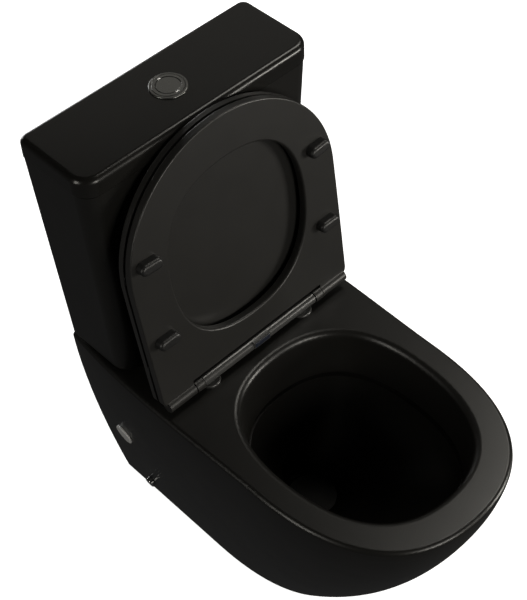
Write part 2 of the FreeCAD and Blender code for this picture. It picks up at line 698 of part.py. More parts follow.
def make_flush_valve():
    """Threaded tail through the cistern's floor, a cage of legs and a top plate; lifting tube."""
    tail = "valve_tail + tank_floor"
    ring = turned("valve_base", [
        (26, f"-({tail})"), ("valve_hole_radius - 0.5", f"-({tail})"), ("valve_hole_radius - 0.5", 0),
        ("valve_hole_radius + 8", 0), ("valve_hole_radius + 8", 5), (26, 5)])
    place(ring, 0, "valve_out", TANK_INSIDE)
    plate = tube("valve_plate", "valve_hole_radius + 7", "overflow_radius + 1", 8, 0, "valve_out",
                 f"{TANK_INSIDE} + valve_height")
    legs = []
    for index in range(4):
        leg = document.addObject("Part::Box", f"valve_leg_{index}")
        leg.Length = 5
        leg.Width = 9
        leg.setExpression("Height", in_sheet("valve_height + 1"))
        angle = math.radians(45 + 90 * index)
        x = f"(valve_hole_radius + 5) * {math.cos(angle):.4f} - 2.5"
        out = f"valve_out + (valve_hole_radius + 5) * {math.sin(angle):.4f} + 4.5"
        legs.append(place(leg, x, out, f"{TANK_INSIDE} + 4"))
    keep(fuse("flush_valve_body", [ring, plate] + legs), "flush_valve_body")
    keep(tube("flush_valve_nut", f"{FLUSH_HOLE} - 1.5", "valve_hole_radius - 0.4", 11, 0,
              "valve_out", "rim_height + tank_gap - 11"), "flush_valve_nut")
    seal = turned("flush_valve_seal", [
        ("overflow_radius + 0.1", 0), (29.5, 0), (29.5, 3), ("overflow_radius + 0.1", 3)])
    keep(place(seal, 0, "valve_out", f"{TANK_INSIDE} + 5"), "flush_valve_seal")
    pipe_body = turned("overflow_tube", [
        ("overflow_radius - 2", 0), ("overflow_radius", 0), ("overflow_radius", 3),
        ("overflow_radius + 10", 3), ("overflow_radius + 10", 6), ("overflow_radius", 9),
        ("overflow_radius", "valve_height - 22"), ("overflow_radius - 2", "valve_height - 22")])
    keep(place(pipe_body, 0, "valve_out", f"{TANK_INSIDE} + 5"), "overflow_tube")


def make_fill_valve():
    """Inlet shank through the cistern's floor, riser, head with its lever, and the float cup."""
    x = "-inlet_spread / 2"
    shank = "inlet_shank_length + tank_floor"
    groove = "-(tank_floor + tank_gap + deck_thickness + 2)"
    riser = turned("fill_riser", [
        (0, f"-({shank})"), ("inlet_shank_radius", f"-({shank})"),
        ("inlet_shank_radius", f"{groove} - 4"), ("inlet_shank_radius - 1", f"{groove} - 4"),
        ("inlet_shank_radius - 1", groove), ("inlet_shank_radius", groove), ("inlet_shank_radius", 0),
        (17, 0), (17, 4), (11, 4), (11, "fill_valve_height"), (17, "fill_valve_height"),
        (17, "fill_valve_height + 22"), (0, "fill_valve_height + 22")])
    place(riser, x, "valve_out", f"{TANK_INSIDE} + 2")
    top = f"{TANK_INSIDE} + 2 + fill_valve_height + 22"
    cheeks = [box(f"fill_cheek_{index}", 8, 3, 11, f"{x} - 8", f"valve_out + {shift}", f"{top} - 1")
              for index, shift in enumerate((-5, 5))]
    pin = cylinder("fill_pin", 1.5, 13, f"{x} - 8", "valve_out + 6.5", f"{top} + 6",
                   Rotation(Vector(1, 0, 0), -90))
    keep(fuse("fill_valve_body", [riser] + cheeks + [pin]), "fill_valve_body")
    keep(tube("fill_valve_washer", 17, "inlet_shank_radius + 0.2", 2, x, "valve_out", TANK_INSIDE),
         "fill_valve_washer")
    keep(hexagon("fill_valve_nut", 34, "inlet_shank_radius + 0.1", 9, x, "valve_out",
                 "rim_height + tank_gap - 9.2"), "fill_valve_nut")
    arm = box("lever_arm", 38, 5, 4, f"{x} - 21", "valve_out", f"{top} + 4")
    eye = cylinder("lever_eye", 3.5, 5, f"{x} - 8", "valve_out + 2.5", f"{top} + 6",
                   Rotation(Vector(1, 0, 0), -90))
    bore = cylinder("lever_bore", 1.56, 9, f"{x} - 8", "valve_out + 4.5", f"{top} + 6",
                    Rotation(Vector(1, 0, 0), -90))
    keep(cut("fill_valve_lever", fuse("lever_blank", [arm, eye]), [bore]), "fill_valve_lever")
    cup = turned("float_cup", [
        (11.5, 0), (13.5, 0), (13.5, "float_height - 2"), ("float_radius - 2", "float_height - 2"),
        ("float_radius - 2", 0), ("float_radius", 0), ("float_radius", "float_height"),
        (11.5, "float_height")])
    lift = "fill_valve_height - float_height - 14"
    place(cup, x, "valve_out", f"{TANK_INSIDE} + {lift}")
    rod = cylinder("float_rod", 1.8, "float_height / 2 + 30", f"{x} - 21", "valve_out",
                   f"{TANK_INSIDE} + {lift} + float_height - 1")
    rod.setExpression("Height", in_sheet(f"({top} + 3) - ({TANK_INSIDE} + {lift} + float_height - 1)"))
    keep(fuse("fill_valve_float", [cup, rod]), "fill_valve_float")

    plug = turned("inlet_blanking_plug", [
        (0, "-(tank_floor + 12)"), ("inlet_shank_radius", "-(tank_floor + 12)"),
        ("inlet_shank_radius", 0), (16, 0), (16, 4), (0, 4)])
    keep(place(plug, "inlet_spread / 2", "valve_out", TANK_INSIDE), "inlet_blanking_plug")
    keep(hexagon("blanking_nut", 34, "inlet_shank_radius + 0.1", 8, "inlet_spread / 2", "valve_out",
                 "rim_height + tank_gap - 8.2"), "blanking_nut")


# ---- buttons ----------------------------------------------------------------------------------

BEZEL_BORE = "button_hole_radius - 0.5 - bezel_wall"
BUTTON_TOP = "bezel_proud + 0.4"


def spring(label, radius, top):
    """Light sleeve of a coil spring's own diameter, from the bezel's floor up to a button."""
    keep(tube(label, f"{radius} + spring_wire / 2", f"{radius} - spring_wire / 2",
              f"bezel_depth - 2 + {top}", 0, "button_out", f"{LID_TOP} - bezel_depth + 2"), label)


def make_buttons():
    """Fixed bezel with its nut, outer full-flush ring, inner half-flush button, rods, springs."""
    floor = "-(bezel_depth - 2)"
    flange = "button_hole_radius - 0.5 + bezel_width - bezel_wall"
    bezel = turned("bezel_shell", [
        (15.5, "-bezel_depth"), ("button_hole_radius - 0.5", "-bezel_depth"),
        ("button_hole_radius - 0.5", 0), (flange, 0), (flange, "bezel_proud - 0.8"),
        (f"{flange} - 0.8", "bezel_proud"), (BEZEL_BORE, "bezel_proud"), (BEZEL_BORE, floor),
        (15.5, floor)])
    place(bezel, 0, "button_out", LID_TOP)
    web = turned("bezel_web", [("4.5", "-bezel_depth"), (16, "-bezel_depth"), (16, floor), (4.5, floor)])
    place(web, 0, "button_out", LID_TOP)
    passage = cylinder("rod_passage", 2.8, 10, 19, "button_out", f"{LID_TOP} - bezel_depth - 4")
    keep(cut("button_bezel", fuse("bezel_blank", [bezel, web]), [passage]), "button_bezel")
    keep(tube("button_clamp_nut", "button_hole_radius + 6", "button_hole_radius - 0.4", 6, 0,
              "button_out", f"{LID_TOP} - lid_wall - 6.1"), "button_clamp_nut")

    outer = f"{BEZEL_BORE} - button_gap"
    inner = "half_button_radius + button_gap"
    ring = turned("ring_shell", [
        (9.5, -9), (outer, -9), (outer, f"{BUTTON_TOP} - 0.6"), (f"{outer} - 0.6", BUTTON_TOP),
        (f"{inner} + 0.5", BUTTON_TOP), (inner, f"{BUTTON_TOP} - 0.5"), (inner, -6.5), (9.5, -6.5)])
    place(ring, 0, "button_out", LID_TOP)
    rod = cylinder("full_rod_bar", 2, "rod_length - 8", 19, "button_out", f"{LID_TOP} - rod_length")
    keep(fuse("full_flush_button", [ring, rod]), "full_flush_button")

    disc = turned("disc_shell", [
        (0, "-rod_length"), (2.5, "-rod_length"), (2.5, -1), ("half_button_radius", -1),
        ("half_button_radius", f"{BUTTON_TOP} - 0.8"), ("half_button_radius - 0.7", f"{BUTTON_TOP} - 0.2"),
        (0, f"{BUTTON_TOP} - 0.2")])
    keep(place(disc, 0, "button_out", LID_TOP), "half_flush_button")
    spring("full_flush_spring", "full_spring_radius", -9)
    spring("half_flush_spring", "half_spring_radius", -1)


# ---- seat, cover and hinge -------------------------------------------------------------------

SEAT_REACH = "pan_depth - seat_set_back - hinge_out"
STACK = "seat_thickness - seat_drop + cover_gap + cover_thickness"


def lean():
    """Degrees past upright at which the open cover comes to the cistern lid."""
    space = size(f"hinge_out - ({STACK}) - lid_depth - lean_gap")
    return math.degrees(math.asin(space / size(f"{SEAT_REACH} - cover_tip")))


def hinge_placement(angle):
    """Placement of a piece drawn lying down about the hinge line, turned up by an angle."""
    base = Vector(0, size("pan_depth / 2 - hinge_out"), size("rim_height + hinge_rise"))
    return Placement(base, Rotation(Vector(1, 0, 0), -angle))


def seat_outline(inset, height):
    """D outline from the hinge line forwards: straight sides and a round nose."""
    rear = size("seat_rear_width / 2") - inset
    half = size("seat_width / 2") - inset
    reach = size(SEAT_REACH) - inset
    nose = size("seat_nose_length") - inset
    corner = 12 - inset / 2
    start = -2 - inset
    edges = []
    for side in (1, -1):
        edges.append(bezier((side * rear, start - corner, height),
                            (side * rear, start - (1 - ROUND) * corner, height),
                            (side * (rear - (1 - ROUND) * corner), start, height),
                            (side * (rear - corner), start, height)))
        edges.append(bezier((side * rear, start - corner, height),
                            (side * (rear + 1), -0.3 * (reach - nose), height),
                            (side * half, -0.75 * (reach - nose), height),
                            (side * half, nose - reach, height)))
        edges.append(bezier((side * half, nose - reach, height),
                            (side * half, nose - reach - ROUND * nose, height),
                            (side * ROUND * half, -reach, height), (0, -reach, height)))
    edges.append(Part.makeLine(Vector(rear - corner, start, height), Vector(corner - rear, start, height)))
    return Part.Wire(Part.__sortEdges__(edges))


def seat_hole(height):
    half = size("seat_width / 2 - hole_side")
    return oval(height, size("hole_rear"), size(f"{SEAT_REACH} - seat_front"), half,
                size("hole_middle"))


def rim_edges(shape, height):
    return [edge for edge in shape.Edges
            if all(abs(vertex.Z - height) < 0.01 for vertex in edge.Vertexes)]


def along_hinge(radius, x_low, x_high, y=0, z=0):
    return Part.makeCylinder(radius, x_high - x_low, Vector(x_low, y, z), Vector(1, 0, 0))


def make_seat():
    """Ring with its hinge knuckles and bearing holes, drawn about the hinge line."""
    low = -size("seat_drop")
    high = low + size("seat_thickness")
    slab = Part.Face(seat_outline(0, low)).extrude(Vector(0, 0, high - low))
    slab = slab.makeFillet(size("seat_round"), rim_edges(slab, high))
    slab = slab.makeFillet(size("seat_round / 2"), rim_edges(slab, low))
    hole = Part.Face(seat_hole(low - 1)).extrude(Vector(0, 0, high - low + 2))
    slab = slab.cut(hole)
    wide = size("seat_width / 2 - hole_side") + 1
    hole_edges = [edge for edge in rim_edges(slab, low) + rim_edges(slab, high)
                  if abs(edge.CenterOfMass.x) < wide
                  and -size(f"{SEAT_REACH} - seat_front + 1") < edge.CenterOfMass.y
                  and edge.CenterOfMass.y < -size("hole_rear") + 1]
    slab = slab.makeFillet(size("seat_round - 1"), hole_edges)
    gap = size("hinge_gap")
    inner = size("bar_length / 2 + ear_width") + 2 * gap
    notch_depth = size("seat_notch")
    solid = slab.cut(Part.makeBox(2 * inner, notch_depth + 10, 60, Vector(-inner, -notch_depth, -30)))
    for side in (-1, 1):
        ends = sorted((side * inner, side * (inner + size("knuckle_length"))))
        solid = solid.fuse(along_hinge(size("knuckle_radius"), *ends))
        bore_ends = sorted((side * (inner - 1), side * (inner + size("knuckle_length - 6"))))
        solid = solid.cut(along_hinge(size("pin_radius + running_gap"), *bore_ends))
    return keep(plain("seat_ring", solid.removeSplitter(), hinge_placement(90 + lean())), "seat_ring")


def stadium(x, y, length, width, low, high, turn):
    """Long pad with round ends, lying at a height."""
    half = (length - width) / 2
    radius = width / 2
    wire = Part.Wire([
        Part.makeLine(Vector(-half, -radius, low), Vector(half, -radius, low)),
        Part.Arc(Vector(half, -radius, low), Vector(half + radius, 0, low),
                 Vector(half, radius, low)).toShape(),
        Part.makeLine(Vector(half, radius, low), Vector(-half, radius, low)),
        Part.Arc(Vector(-half, radius, low), Vector(-half - radius, 0, low),
                 Vector(-half, -radius, low)).toShape()])
    pad = Part.Face(wire).extrude(Vector(0, 0, high - low))
    pad.rotate(Vector(), Vector(0, 0, 1), turn)
    pad.translate(Vector(x, y, 0))
    return pad


def make_bumpers():
    """Four pads under the seat that land on the rim, and four thin ones under the cover."""
    angle = 90 + lean()
    underside = -size("seat_drop")
    floor = -size("hinge_rise") + size("bumper_gap")
    seat_top = size("seat_thickness - seat_drop")
    half = size("bumper_spread / 2")
    under_seat, under_cover = [], []
    for side in (-1, 1):
        for out, turn in (("bumper_front", -4), ("bumper_rear", 0)):
            pad = stadium(side * half, -size(out), size("bumper_length"), size("bumper_width"),
                          floor, underside, side * turn)
            under_seat.append(pad.makeFillet(size("bumper_round"), rim_edges(pad, floor)))
        for out in ("bumper_front - 20", "bumper_rear - 50"):
            under_cover.append(stadium(side * size("seat_width / 2 - cover_rim / 2"), -size(out), 16, 7,
                                       seat_top + 0.3, seat_top + size("cover_gap"), 90))
    keep(plain("seat_bumpers", Part.makeCompound(under_seat), hinge_placement(angle)), "seat_bumpers")
    keep(plain("cover_bumpers", Part.makeCompound(under_cover), hinge_placement(angle)),
         "cover_bumpers")


def make_cover():
    """Hollow-faced lid over the seat, with two ears round the hinge pins."""
    low = size("seat_thickness - seat_drop + cover_gap")
    high = low + size("cover_thickness")
    slab = Part.Face(seat_outline(0, low)).extrude(Vector(0, 0, high - low))
    slab = slab.makeFillet(size("cover_round"), rim_edges(slab, high))
    recess = Part.Face(seat_outline(size("cover_rim"), low - 1)).extrude(
        Vector(0, 0, size("cover_recess") + 1))
    solid = slab.cut(recess)
    gap = size("hinge_gap")
    for side in (-1, 1):
        inner = size("bar_length / 2") + gap
        ends = sorted((side * inner, side * (inner + size("ear_width"))))
        ear = along_hinge(size("ear_radius"), *ends)
        neck = Part.makeBox(ends[1] - ends[0], 11, low + 3, Vector(ends[0], -5.5, 0))
        neck = neck.fuse(Part.makeBox(ends[1] - ends[0], 14, size("cover_recess") + 1,
                                      Vector(ends[0], -15, low + 0.5)))
        solid = solid.fuse(ear.fuse(neck))
        solid = solid.cut(along_hinge(size("pin_radius + running_gap"), ends[0] - 1, ends[1] + 1))
    return keep(plain("cover", solid.removeSplitter(), hinge_placement(90 + lean())), "cover")


def make_hinge():
    """Fixed bar on two posts, dampers and pins in its ends, and the catch's release button."""
    spot = hinge_placement(0)
    half = size("bar_length / 2")
    pin = size("pin_radius")
    step = size("hinge_out - post_out")
    base = size("disc_height - hinge_rise") + 0.5
    damper_end = half - 25
    damper_start = damper_end - 45
    bar = along_hinge(size("bar_radius"), -half, half)
    for side in (-1, 1):
        foot = Vector(side * size("post_spread") / 2, step, base)
        boss = Part.makeCylinder(size("post_radius") + 4.5, -base - 3, foot)
        bar = bar.fuse(boss)
    width = size("release_width")
    height = size("release_height")
    face = -size("bar_radius") - 0.7
    foot_line = size("release_rise") - height / 2
    housing = Part.makeBox(width + 3, 8, height + 2.4, Vector(-width / 2 - 1.5, face, foot_line - 1.2))
    bar = bar.fuse(housing)
    gap = size("button_gap")
    depth = 2 + size("release_travel") + 1.5
    bar = bar.cut(Part.makeBox(width + 2 * gap, depth, height + 2 * gap,
                               Vector(-width / 2 - gap, face - 0.01, foot_line - gap)))
    dampers, pins, posts, discs = [], [], [], []
    for side in (-1, 1):
        ends = sorted((side * damper_start, side * damper_end))
        bar = bar.cut(along_hinge(4.55, *ends))
        dampers.append(along_hinge(4.5, *ends))
        ends = sorted((side * damper_end, side * (half + 1)))
        bar = bar.cut(along_hinge(pin + 0.02, *ends))
        reach = half + 2 * size("hinge_gap") + size("ear_width + knuckle_length - 8")
        ends = sorted((side * damper_end, side * reach))
        pins.append(along_hinge(pin, *ends))
        x = side * size("post_spread") / 2
        radius = size("post_radius")
        top = -4
        bar = bar.cut(Part.makeCylinder(radius + 0.4, top + 1 - base, Vector(x, step, base - 0.5)))
        foot = size("-hinge_rise - deck_thickness - stud_length + 20")
        posts.append(Part.makeCylinder(radius, top - foot, Vector(x, step, foot)))
        low = -size("hinge_rise")
        disc = Part.makeCylinder(size("disc_radius"), size("disc_height"), Vector(x, step, low))
        disc = disc.makeChamfer(1.2, rim_edges(disc, low + size("disc_height")))
        discs.append(disc.cut(Part.makeCylinder(radius + 0.05, 20, Vector(x, step, low - 5))))
    keep(plain("hinge_bar", bar.removeSplitter(), spot), "hinge_bar")
    for label, shapes in (("soft_close_dampers", dampers), ("hinge_pins", pins),
                          ("hinge_posts", posts), ("hinge_base_discs", discs)):
        keep(plain(label, Part.makeCompound(shapes), spot), label)
    release = Part.makeBox(width, 3, height, Vector(-width / 2, face - 0.6, foot_line))
    release = release.makeFillet(0.8, [edge for edge in release.Edges
                                       if abs(edge.CenterOfMass.y - face + 0.6) < 0.01])
    keep(plain("release_button", release, spot), "release_button")


def make_hinge_fixings():
    """Soft washers and wing nuts that hold the hinge posts under the deck."""
    washers, nuts = [], []
    deck = "rim_height - deck_thickness"
    for side in (-1, 1):
        x = f"{side} * post_spread / 2"
        washers.append(tube(f"hinge_washer_{side + 1}", 13, "post_radius + 0.1", 4, x, "post_out",
                            f"{deck} - 4"))
        nuts.append(hexagon(f"hinge_nut_{side + 1}", 20, "post_radius + 0.1", 9, x, "post_out",
                            f"{deck} - 13.1"))
    group("hinge_washers", washers)
    group("hinge_nuts", nuts)


# ---- fixings low on the skirt ----------------------------------------------------------------

def make_side_fixings():
    """Round covers over the access holes, and the screws that hold the skirt to floor brackets."""
    caps, screws, covers, brackets, anchors = [], [], [], [], []
    wall = size("skirt_wall")
    radius = size("fixing_radius")
    for side in (-1, 1):
        spot = wall_placement(size("cap_out"), size("cap_height"), side)
        profile = size("cap_radius")
        cap = Part.makeCylinder(profile, 3.2, Vector(0, 0, 0.4))
        cap = cap.makeFillet(1.5, rim_edges(cap, 3.6))
        cap = cap.fuse(Part.makeCylinder(profile - 3.6, 8, Vector(0, 0, -6)))
        cap.Placement = spot
        caps.append(cap)

        spot = wall_placement(size("fixing_out"), size("fixing_height"), side)
        screw = Part.makeCylinder(radius, 2 * wall + 13, Vector(0, 0, -2 * wall - 12))
        head = Part.makeCylinder(2 * radius, 3, Vector(0, 0, 1))
        screw = screw.fuse(head)
        screw.Placement = spot
        screws.append(screw)
        cover = Part.makeCylinder(2 * radius + 1.5, 6.5, Vector(0, 0, 0.5))
        cover = cover.makeFillet(2, rim_edges(cover, 7))
        cover = cover.cut(Part.makeCylinder(2 * radius + 0.1, 4, Vector(0, 0, 0.4)))
        cover.Placement = spot
        covers.append(cover)

        face = size("foot_width / 2") - wall - 5
        y = spot.Base.y
        reach = 36
        tall = size("fixing_height") + 8
        foot = Part.makeBox(reach, 26, 3, Vector(min(side * face, side * (face - reach)), y - 13, 0))
        plate = Part.makeBox(3, 26, tall, Vector(min(side * face, side * (face - 3)), y - 13, 0))
        bore = Part.makeCylinder(radius + 0.1, 4 * wall, Vector(0, 0, -4 * wall))
        bore.Placement = spot
        hole_x = side * (face - 20)
        shank = size("floor_screw_radius")
        hole = Part.makeCylinder(shank + 0.2, 20, Vector(hole_x, y, -5))
        brackets.append(foot.fuse(plate).cut(bore).cut(hole))
        anchor = Part.makeCylinder(shank, 3.2, Vector(hole_x, y, 0))
        crown = Part.makeCone(2.2 * shank, shank, 3, Vector(hole_x, y, 3))
        anchors.append(anchor.fuse(crown))
    for label, shapes in (("side_caps", caps), ("side_screws", screws), ("screw_covers", covers),
                          ("floor_brackets", brackets), ("floor_screws", anchors)):
        keep(plain(label, Part.makeCompound(shapes)), label)


make_pan()
make_tank()
make_tank_lid()
make_lid_buffers()
make_tank_fixings()
make_flush_valve()
make_fill_valve()
make_buttons()
make_seat()
make_cover()
make_bumpers()
make_hinge()
make_hinge_fixings()
make_side_fixings()
document.recompute()

for thing in document.Objects:
    if {"Invalid", "Error"} & set(thing.State):
        raise RuntimeError(f"{thing.Label} failed: {thing.State}")
for thing in nodes:
    if thing.Shape.isNull() or not thing.Shape.isValid() or not thing.Shape.Solids:
        raise RuntimeError(f"{thing.Label} has no valid solid")

os.makedirs("parts", exist_ok=True)
for thing in nodes:
    thing.Shape.exportStep(f"parts/{thing.Label}.step")
    print(f"{thing.Label}: {len(thing.Shape.Solids)} solids, {thing.Shape.Volume / 1000:.1f} cm3")
print(f"{len(nodes)} sub-parts, seat leans {lean():.2f} degrees back")
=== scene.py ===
import math

import bpy
from mathutils import Matrix, Vector


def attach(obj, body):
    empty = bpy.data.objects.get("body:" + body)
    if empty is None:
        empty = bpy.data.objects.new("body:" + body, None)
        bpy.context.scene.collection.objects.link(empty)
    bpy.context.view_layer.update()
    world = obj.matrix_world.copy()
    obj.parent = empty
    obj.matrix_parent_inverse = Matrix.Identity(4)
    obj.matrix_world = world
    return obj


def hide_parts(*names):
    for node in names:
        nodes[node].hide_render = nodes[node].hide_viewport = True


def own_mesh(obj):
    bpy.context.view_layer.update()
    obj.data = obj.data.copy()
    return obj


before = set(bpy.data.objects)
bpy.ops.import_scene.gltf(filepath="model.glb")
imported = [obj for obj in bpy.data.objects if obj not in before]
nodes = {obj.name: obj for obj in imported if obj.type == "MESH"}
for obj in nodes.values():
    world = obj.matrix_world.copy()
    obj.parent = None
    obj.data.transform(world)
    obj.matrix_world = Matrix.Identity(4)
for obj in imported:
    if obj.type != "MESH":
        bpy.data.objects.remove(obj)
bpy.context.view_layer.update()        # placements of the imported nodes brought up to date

# ---- pan ---------------------------------------------------------------------------------------
# One slip-cast piece of vitreous china, with its bowl and trapway inside a skirt that reaches the
# floor. It is glazed matte black except where its foot stood on the kiln shelf, with a fine peel
# and faint patches where the glaze lies thicker.

GLAZE_BLACK = (0.0078, 0.0075, 0.0068)
GLAZE_THIN = (0.0102, 0.0098, 0.0088)
RAW_CLAY = (0.42, 0.38, 0.32)
RAW_EDGE_HEIGHT = 0.0012


def new_finish(name, colour, roughness, **values):
    """Material whose constant values are set on its shader; patterns are added by the calls below."""
    made = bpy.data.materials.new(name)
    made.use_nodes = True
    shader = made.node_tree.nodes["Principled BSDF"]
    shader.inputs["Base Color"].default_value = (*colour, 1)
    shader.inputs["Roughness"].default_value = roughness
    for socket, value in values.items():
        shader.inputs[socket.replace("_", " ")].default_value = value
    return made


def node_of(finish, kind, **values):
    """A shader node of the finish's tree with its settings."""
    made = finish.node_tree.nodes.new(kind)
    for name, value in values.items():
        setattr(made, name, value)
    return made


def wire(finish, out_socket, in_socket):
    finish.node_tree.links.new(out_socket, in_socket)


def shader_of(finish):
    return finish.node_tree.nodes["Principled BSDF"]


def grain(finish, size, detail=2.0, stretch=(1, 1, 1)):
    """Noise on the piece's own coordinates with grains of about that size in metres."""
    place = node_of(finish, "ShaderNodeTexCoord")
    mapping = node_of(finish, "ShaderNodeMapping")
    mapping.inputs["Scale"].default_value = stretch
    noise = node_of(finish, "ShaderNodeTexNoise")
    noise.inputs["Scale"].default_value = 1 / size
    noise.inputs["Detail"].default_value = detail
    wire(finish, place.outputs["Object"], mapping.inputs["Vector"])
    wire(finish, mapping.outputs["Vector"], noise.inputs["Vector"])
    return noise.outputs["Fac"]


def spread(finish, value, low, high, from_low=0.3, from_high=0.7):
    """The value moved from its own range into low to high."""
    ramp = node_of(finish, "ShaderNodeMapRange")
    for name, number in (("From Min", from_low), ("From Max", from_high), ("To Min", low), ("To Max", high)):
        ramp.inputs[name].default_value = number
    wire(finish, value, ramp.inputs["Value"])
    return ramp.outputs["Result"]


def two_tone(finish, factor, first, second):
    """Colour between two tones by a factor."""
    mix = node_of(finish, "ShaderNodeMix", data_type="RGBA")
    colours = [s for s in mix.inputs if s.type == "RGBA"]
    for socket, tone in zip(colours, (first, second)):
        if isinstance(tone, tuple):
            socket.default_value = (*tone, 1)
        else:
            wire(finish, tone, socket)
    wire(finish, factor, mix.inputs["Factor"])
    return [s for s in mix.outputs if s.type == "RGBA"][0]


def relief(finish, layers):
    """Fine surface relief: each layer is (height, strength, distance in metres)."""
    before = None
    for height, strength, distance in layers:
        bump = node_of(finish, "ShaderNodeBump")
        bump.inputs["Strength"].default_value = strength
        bump.inputs["Distance"].default_value = distance
        wire(finish, height, bump.inputs["Height"])
        if before:
            wire(finish, before, bump.inputs["Normal"])
        before = bump.outputs["Normal"]
    wire(finish, before, shader_of(finish).inputs["Normal"])


def height_share(finish, low, high):
    """0 below one height above the floor and 1 above another."""
    place = node_of(finish, "ShaderNodeTexCoord")
    split = node_of(finish, "ShaderNodeSeparateXYZ")
    wire(finish, place.outputs["Object"], split.inputs["Vector"])
    return spread(finish, split.outputs["Z"], 0, 1, low, high)


def smooth_glaze(name, roughness, raw_foot):
    """Matte black glaze, with bare clay below the raw edge where the piece has a foot."""
    made = new_finish(name, GLAZE_BLACK, roughness, Specular_IOR_Level=0.5)
    shader = shader_of(made)
    patches = spread(made, grain(made, 0.16, 3), 0, 1)
    tone = two_tone(made, patches, GLAZE_BLACK, GLAZE_THIN)
    rough = spread(made, grain(made, 0.05, 2), roughness - 0.012, roughness + 0.012)
    if raw_foot:
        glazed = height_share(made, RAW_EDGE_HEIGHT * 0.6, RAW_EDGE_HEIGHT)
        tone = two_tone(made, glazed, RAW_CLAY, tone)
    wire(made, tone, shader.inputs["Base Color"])
    wire(made, rough, shader.inputs["Roughness"])
    relief(made, [(grain(made, 0.006, 2), 0.03, 0.0004), (grain(made, 0.0008, 1), 0.02, 0.0001)])
    return made


def finish_node(name, finish, crease=35, edge=0.0, segments=2):
    """Gives a node its finish, joins its loose triangles and rounds its hard edges a little."""
    piece = nodes[name]
    piece.data.materials.clear()
    piece.data.materials.append(finish)
    for face in piece.data.polygons:
        face.use_smooth = True
    weld = piece.modifiers.new("joined", "WELD")
    weld.merge_threshold = 0.00001
    if edge:
        bevel = piece.modifiers.new("eased", "BEVEL")
        bevel.width = edge
        bevel.segments = segments
        bevel.limit_method = "ANGLE"
        bevel.angle_limit = math.radians(crease)
        bevel.harden_normals = False
    split = piece.modifiers.new("creased", "EDGE_SPLIT")
    split.split_angle = math.radians(crease)
    split.use_edge_sharp = False
    even = piece.modifiers.new("evened", "WEIGHTED_NORMAL")
    even.weight = 60
    even.keep_sharp = False
    return piece


pan_glaze = smooth_glaze("pan_glaze", 0.34, True)
for name in ("pan", "bowl", "trapway"):
    finish_node(name, pan_glaze)

# ---- cistern and its lid -----------------------------------------------------------------------
# The same china and glaze, cast as a tall box that leans in towards its foot, with a loose lid.
# The lid's top is flatter and so shows the glaze a little smoother.

tank_glaze = smooth_glaze("tank_glaze", 0.34, False)
lid_glaze = smooth_glaze("lid_glaze", 0.26, False)
finish_node("tank", tank_glaze)
finish_node("tank_lid", lid_glaze)

# ---- rubber, foam and steel of the cistern's joint --------------------------------------------
# A foam ring seals the flush hole, two steel bolts with rubber seals and plastic wing nuts hold
# the cistern down, and four rubber buffers keep the lid from ringing.

rubber = new_finish("rubber", (0.018, 0.018, 0.018), 0.72)
wire(rubber, spread(rubber, grain(rubber, 0.003, 3), 0.62, 0.8), shader_of(rubber).inputs["Roughness"])
relief(rubber, [(grain(rubber, 0.0005, 2), 0.25, 0.0002)])

foam = new_finish("foam", (0.03, 0.03, 0.032), 0.95)
wire(foam, two_tone(foam, spread(foam, grain(foam, 0.0016, 4), 0, 1), (0.02, 0.02, 0.021),
                    (0.05, 0.05, 0.053)), shader_of(foam).inputs["Base Color"])
relief(foam, [(grain(foam, 0.0012, 4), 0.8, 0.0008)])

steel = new_finish("steel", (0.56, 0.56, 0.57), 0.32, Metallic=1.0)
wire(steel, spread(steel, grain(steel, 0.0012, 3, (1, 1, 12)), 0.24, 0.42),
     shader_of(steel).inputs["Roughness"])
relief(steel, [(grain(steel, 0.0006, 2, (1, 1, 10)), 0.12, 0.0001)])

for name in ("lid_buffers", "tank_bolt_seals", "flush_valve_seal", "fill_valve_washer", "hinge_washers"):
    finish_node(name, rubber, edge=0.0003)
finish_node("tank_gasket", foam)
for name in ("tank_bolts", "tank_bolt_washers", "soft_close_dampers", "hinge_pins", "hinge_posts",
             "side_screws", "floor_screws"):
    finish_node(name, steel, edge=0.0002)

# ---- flush valve and fill valve ----------------------------------------------------------------
# Injection-moulded white plastic inside the cistern, with a grey float and lever.

white_plastic = new_finish("white_plastic", (0.72, 0.72, 0.70), 0.42)
wire(white_plastic, two_tone(white_plastic, spread(white_plastic, grain(white_plastic, 0.02, 3), 0, 1),
                             (0.70, 0.70, 0.67), (0.76, 0.76, 0.75)),
     shader_of(white_plastic).inputs["Base Color"])
relief(white_plastic, [(grain(white_plastic, 0.0009, 2), 0.12, 0.0002)])

grey_plastic = new_finish("grey_plastic", (0.24, 0.26, 0.29), 0.45)
wire(grey_plastic, spread(grey_plastic, grain(grey_plastic, 0.004, 3), 0.38, 0.52),
     shader_of(grey_plastic).inputs["Roughness"])
relief(grey_plastic, [(grain(grey_plastic, 0.0008, 2), 0.15, 0.0002)])

for name in ("tank_wing_nuts", "flush_valve_body", "flush_valve_nut", "overflow_tube", "fill_valve_body",
             "fill_valve_nut", "inlet_blanking_plug", "blanking_nut", "button_clamp_nut", "hinge_nuts",
             "floor_brackets"):
    finish_node(name, white_plastic, edge=0.0003)
for name in ("fill_valve_lever", "fill_valve_float"):
    finish_node(name, grey_plastic, edge=0.0003)

# ---- flush buttons -----------------------------------------------------------------------------
# A smoked chrome bezel dropped through the lid holds a ring for the full flush, with two polished
# finger notches, round a disc for the half flush. A wound steel spring lifts each of them.

COIL_STEPS = 28
COIL_WIRE = 0.00045
FULL_TURNS = 6
HALF_TURNS = 8
NOTCH_OUT = 0.0181
NOTCH_SIZE = (0.0052, 0.0017, 0.0006)
NOTCH_SINK = 0.00005
NOTCH_EDGE = 0.0002

